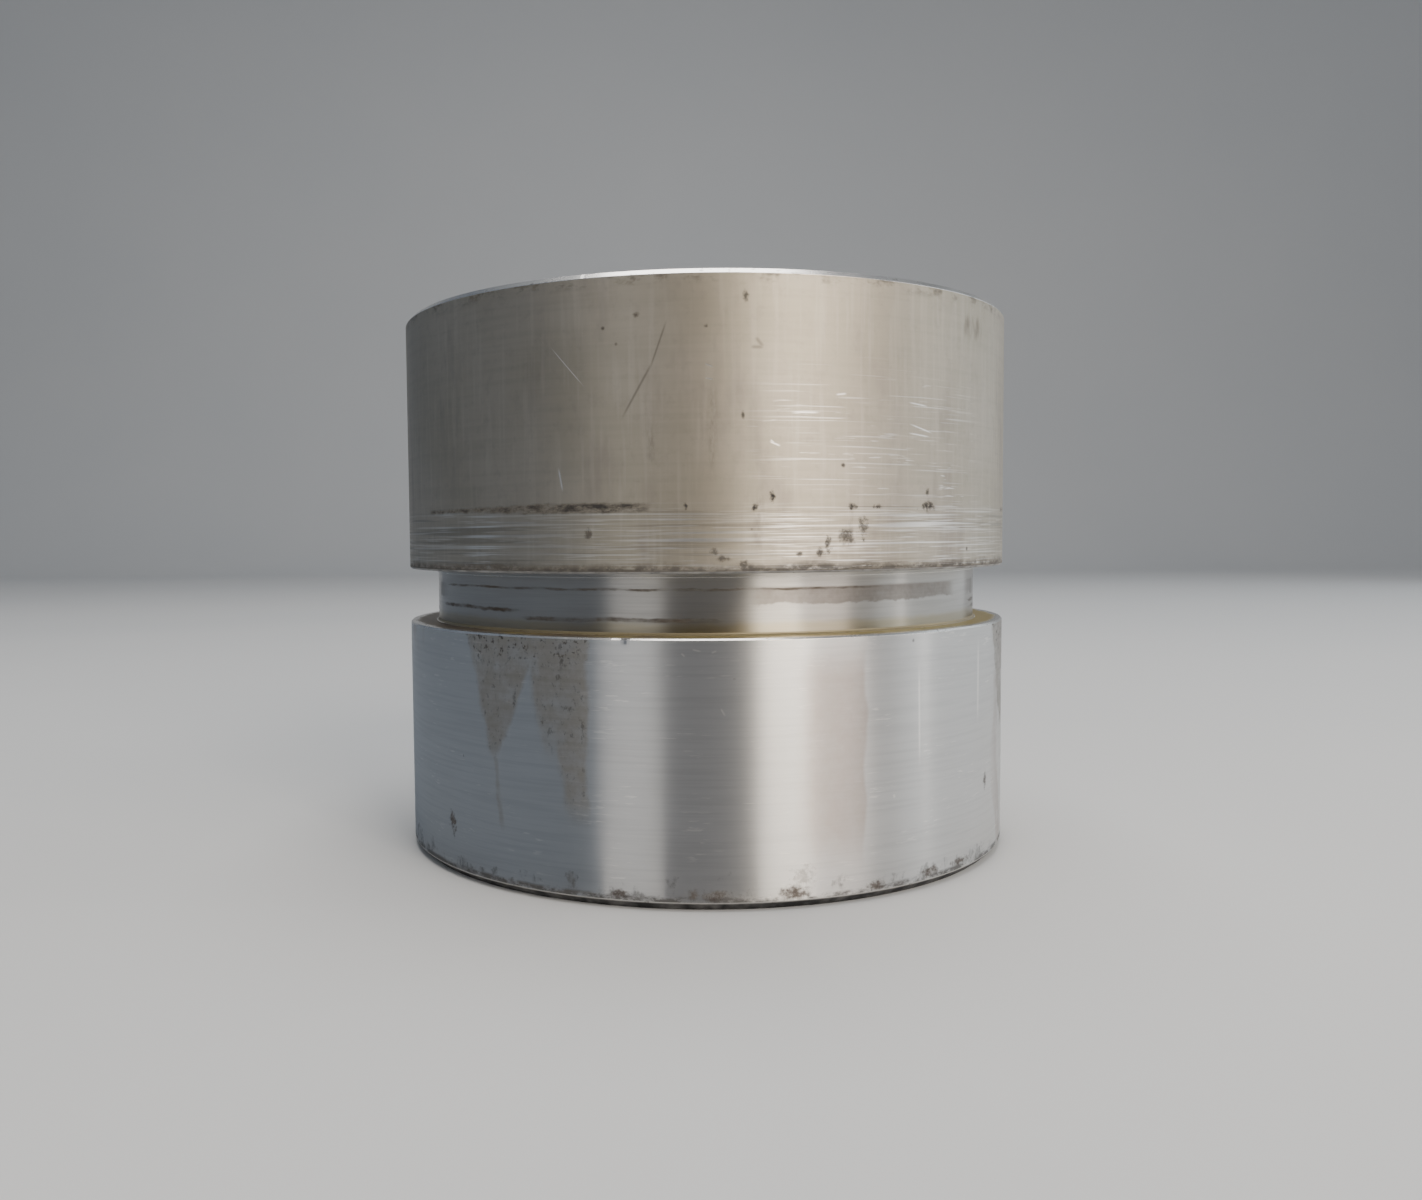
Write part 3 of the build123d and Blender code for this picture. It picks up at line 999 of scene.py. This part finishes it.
def build_screw(name, materials):
    """Threaded set screw with a flat point and a hexagon socket."""
    outward, _ = SCREWS[name]
    node = name + "_screw"
    start, end = span(node, outward)
    angles = all_round(THREAD_STEPS)
    rows = int((end - start) / THREAD_PITCH * ROWS_PER_TURN)
    flat = THREAD_MAJOR_R - SCREW_CHAMFER
    profile = [(AXIS_R, start), (flat * 0.6, start)]
    for row in range(rows + 1):
        distance = start + (end - start) * row / rows
        limit = flat + min(distance - start, end - distance)
        profile.append((np.minimum(thread_radius(distance, angles, 0.0), limit), distance))
    corner = SOCKET_FLAT_R / cos(pi / 6)
    hexagon = hexagon_radius(angles)
    floor = end - SOCKET_DEPTH
    profile += [
        (corner + 0.3, end),
        (corner + 0.12, end - 0.06),
        (np.minimum(hexagon + 0.1, corner), end - 0.22),
        (hexagon, end - 0.42),
        (hexagon, floor + 0.15),
        (hexagon - 0.12, floor),
        (DRILL_R, floor - 0.1),
        (AXIS_R, floor - 1.4),
    ]
    rings = [circle(radius, angles, distance) for radius, distance in profile]
    points = placed(screw_frame(name), np.vstack(rings))
    faces = capped(THREAD_STEPS, len(rings))
    screw = new_object(node + "_threaded", points, faces, [materials["black_steel"]])
    smooth_by_angle(screw, 35)
    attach(screw, node)
    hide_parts(node)


def build_pad(name, materials):
    """Turned brass pad with broken edges and the small pip left by parting off."""
    outward, _ = SCREWS[name]
    node = name + "_pad"
    start, end = span(node, outward)
    low, high = span(node, Vector((0, 0, 1)))
    radius = (high - low) / 2
    outline = [
        (AXIS_R, start),
        (radius - 0.45, start),
        (radius - 0.12, start + 0.12),
        (radius, start + 0.42),
        (radius, end - 0.42),
        (radius - 0.12, end - 0.12),
        (radius - 0.45, end),
        (0.9, end),
        (0.8, end - 0.06),
        (AXIS_R, end - 0.06),
    ]
    pad = turned_solid(node + "_turned", outline, screw_frame(name), materials["brass"])
    smooth_by_angle(pad, 30)
    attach(pad, node)
    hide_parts(node)


# ========== the stop ring
def ring_inner_radius(turn):
    """Inner outline of the stop ring at an angle from the middle of its gap."""
    offset = RING_BORE_OFFSET
    plain = -offset * cos(turn) + sqrt(RING_BORE_R**2 - (offset * sin(turn)) ** 2)
    for ear in (-RING_EAR_TURN, RING_EAR_TURN):
        away = turn - radians(ear)
        reach = RING_EAR_R**2 - (RING_EAR_CENTRE * sin(away)) ** 2
        if reach > 0 and cos(away) > 0:
            plain = min(plain, RING_EAR_CENTRE * cos(away) - sqrt(reach))
    return plain


def build_stop_ring(materials):
    """Retaining ring from its flat outline, with blanked edges and two plier holes."""
    node = "shaft_stop_ring"
    low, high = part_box(node)
    steps = 220
    first = radians(RING_GAP_HALF_ANGLE)
    turns = [first + (2 * pi - 2 * first) * i / steps for i in range(steps + 1)]
    outer_r = RING_GROOVE_R - 0.02
    outline = [(pi + t, outer_r) for t in turns]
    outline += [(pi + t, ring_inner_radius(t)) for t in reversed(turns)]
    loops = [[(r * cos(a), r * sin(a)) for a, r in outline]]
    for ear in (-RING_EAR_TURN, RING_EAR_TURN):
        a = pi + radians(ear)
        cx, cy = RING_EAR_CENTRE * cos(a), RING_EAR_CENTRE * sin(a)
        r = RING_EAR_HOLE_R
        loops.append([(cx + r * cos(h), cy + r * sin(h)) for h in all_round(40)])
    curve = bpy.data.curves.new(node + "_outline", "CURVE")
    curve.dimensions = "2D"
    curve.fill_mode = "BOTH"
    edge = 0.12
    curve.extrude = (high.z - low.z) / 2 - edge * MM
    curve.bevel_depth = edge * MM
    curve.bevel_resolution = 2
    curve.offset = -edge * MM
    for loop in loops:
        spline = curve.splines.new("POLY")
        spline.points.add(len(loop) - 1)
        for point, (x, y) in zip(spline.points, loop):
            point.co = (x * MM, y * MM, 0, 1)
        spline.use_cyclic_u = True
    drawn = in_scene("ring_outline", curve)
    graph = bpy.context.evaluated_depsgraph_get()
    mesh = bpy.data.meshes.new_from_object(drawn.evaluated_get(graph))
    mesh.transform(Matrix.Translation((0, 0, (low.z + high.z) / 2)))
    bpy.data.objects.remove(drawn)
    mesh.materials.clear()
    mesh.materials.append(materials["spring_steel"])
    ring = in_scene(node + "_blanked", mesh)
    smooth_by_angle(ring, 30)
    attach(ring, "sleeve")
    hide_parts(node)


# ========== stage, light, camera
def stage_material():
    g = Graph("stage_pale")
    tone = g.mix(g.noise(180.0, 2.0, seed=50), (0.64, 0.65, 0.66), (0.68, 0.68, 0.68))
    return g.finish(tone, 0.75, 0.0)


def strip(count):
    """Quads along two rows of points given in pairs."""
    return [(2 * i, 2 * i + 1, 2 * i + 3, 2 * i + 2) for i in range(count)]


def build_stage():
    """A pale table that sweeps up into a backdrop."""
    half_width, front, back, bend, height = 3.0, -2.5, 1.3, 0.35, 2.2
    path = [(front, 0.0), (back, 0.0)]
    steps = 12
    for i in range(1, steps + 1):
        a = pi / 2 * i / steps
        path.append((back + bend * sin(a), bend - bend * cos(a)))
    path.append((back + bend, height))
    vertices = [(x, y, z) for y, z in path for x in (-half_width, half_width)]
    faces = strip(len(path) - 1)
    floor = new_object("stage_floor", np.array(vertices) / MM, faces, [stage_material()])
    floor.data.polygons.foreach_set("use_smooth", [True] * len(faces))


def facing(turn):
    """Level direction at an angle from the front of the sleeve, towards the right."""
    return Vector((sin(turn), -cos(turn), 0))


def studio_card(name, turn, distance, width, height, level, brightness):
    """An upright grey card beside the object, turn degrees from its front."""
    towards = facing(radians(turn))
    middle = towards * distance + Vector((0, 0, level))
    across = Vector((-towards.y, towards.x, 0)) * (width / 2)
    up = Vector((0, 0, height / 2))
    corners = [middle + side - up for side in (-across, across)]
    corners += [middle + side + up for side in (across, -across)]
    unseen_card(name, [c / MM for c in corners], [(0, 1, 2, 3)], brightness)


def unseen_card(name, corners, faces, brightness):
    """A grey surface that shows only in the metal's reflections."""
    material = Graph("card_" + name).finish(brightness, 0.9, 0.0)
    card = new_object("card_" + name, corners, faces, [material])
    card.visible_camera = False
    card.visible_shadow = False
    card.visible_diffuse = False


CARD_GAP = 0.8           # a floor card starts this far from the sleeve, just above the floor
CARD_LIFT = 0.5
CARD_LENGTH = 600.0
LIGHT_AIM = 0.04         # height in metres at which every light points
SOFTBOX_HEIGHT = 0.9
CAMERA_DISTANCE = 204.65
CAMERA_HEIGHT = 50.69
CAMERA_ASIDE = -2.09
CAMERA_PITCH = 3.22
CAMERA_YAW = -1.487
CAMERA_ROLL = -0.457


def reflected(turn):
    """Direction in which the camera sees, mirrored by the sleeve at an angle from its front."""
    to_camera = atan2(-OUTER_R * sin(turn), CAMERA_DISTANCE - OUTER_R * cos(turn))
    return 2 * turn - to_camera


def floor_card(name, first, last, brightness):
    """A grey part of the table top: what the sleeve mirrors between two angles of its wall."""
    corners = []
    steps = 24
    for i in range(steps + 1):
        turn = radians(first + (last - first) * i / steps)
        start = facing(turn) * (OUTER_R + CARD_GAP)
        end = start + facing(reflected(turn)) * CARD_LENGTH
        corners += [(*start.xy, CARD_LIFT), (*end.xy, CARD_LIFT)]
    unseen_card(name, corners, strip(steps), brightness)


def softbox(name, turn, distance, width, power, color, level=0.3):
    """A rectangular soft light, turned about the object from the front towards the right."""
    light = bpy.data.lights.new(name, "AREA")
    light.shape = "RECTANGLE"
    light.size, light.size_y = width, SOFTBOX_HEIGHT
    light.energy = power
    light.color = color
    lamp = in_scene(name, light)
    lamp.location = facing(radians(turn)) * distance + Vector((0, 0, level))
    sight = Vector((0, 0, LIGHT_AIM)) - lamp.location
    lamp.rotation_euler = sight.to_track_quat("-Z", "Y").to_euler()


def build_light():
    world = bpy.data.worlds.new("studio")
    world.use_nodes = True
    background = world.node_tree.nodes["Background"]
    background.inputs["Color"].default_value = (0.84, 0.91, 1.0, 1)
    background.inputs["Strength"].default_value = 0.27
    bpy.context.scene.world = world
    softbox("key_light", 27.8, 0.75, 0.235, 3.7, (1.0, 0.9, 0.76))
    softbox("key_edge", 35.5, 0.7, 0.035, 0.5, (1.0, 0.96, 0.9))
    softbox("side_light", 48, 0.75, 0.28, 2.0, (1.0, 0.89, 0.8))
    softbox("side_strip", 84, 0.8, 0.04, 0.4, (1.0, 0.97, 0.93))
    softbox("left_light", -28, 0.8, 0.3, 0.4, (0.95, 0.97, 1.0))
    softbox("right_fill", 105, 0.9, 1.2, 2.8, (0.86, 0.94, 1.0))
    softbox("top_light", 180, 0.1, 0.6, 8.5, (1.0, 0.98, 0.95), level=1.1)
    studio_card("front", 0.9, 0.62, 0.384, 1.2, 0.4, (0.03, 0.033, 0.04))
    studio_card("left", -95, 0.7, 1.9, 1.2, 0.4, (0.14, 0.17, 0.22))
    floor_card("front_floor", -7.1, 7.9, (0.23, 0.24, 0.26))
    floor_card("left_floor", -80, -17, (0.19, 0.22, 0.26))


def build_camera():
    """The camera stands close, a little above mid-height, and looks almost level."""
    place = Vector((CAMERA_ASIDE, -CAMERA_DISTANCE, CAMERA_HEIGHT)) * MM
    pitch, yaw, roll = (radians(a) for a in (CAMERA_PITCH, CAMERA_YAW, CAMERA_ROLL))
    forward = Vector(
        (sin(yaw) * cos(pitch), cos(yaw) * cos(pitch), -sin(pitch))
    )
    right = Vector((cos(yaw), -sin(yaw), 0))
    up = right.cross(forward)
    turned_right = right * cos(roll) + up * sin(roll)
    turned_up = up * cos(roll) - right * sin(roll)
    data = bpy.data.cameras.new("camera")
    data.sensor_width = 36.0
    data.lens = 29.69
    data.shift_x = 0.0349
    data.clip_start = 0.005
    camera = in_scene("camera", data)
    turn = Matrix((turned_right, turned_up, -forward)).transposed().to_4x4()
    camera.matrix_world = Matrix.Translation(place) @ turn
    bpy.context.scene.camera = camera


# ========== build everything
materials = {
    "upper_land": upper_land_material(),
    "lower_land": lower_land_material(),
    "neck": neck_material(),
    "groove_face": groove_face_material(),
    "end_face": end_face_material(),
    "edge": edge_material(),
    "bore": bore_material(),
    "keyway": keyway_material(),
    "tapped": drilled_material(),
    "black_steel": black_steel_material(),
    "brass": brass_material(),
    "spring_steel": spring_steel_material(),
}
build_sleeve(materials)
for screw_name in SCREWS:
    build_tapped_thread(screw_name, materials)
    build_screw(screw_name, materials)
    build_pad(screw_name, materials)
build_stop_ring(materials)
build_stage()
build_light()
build_camera()
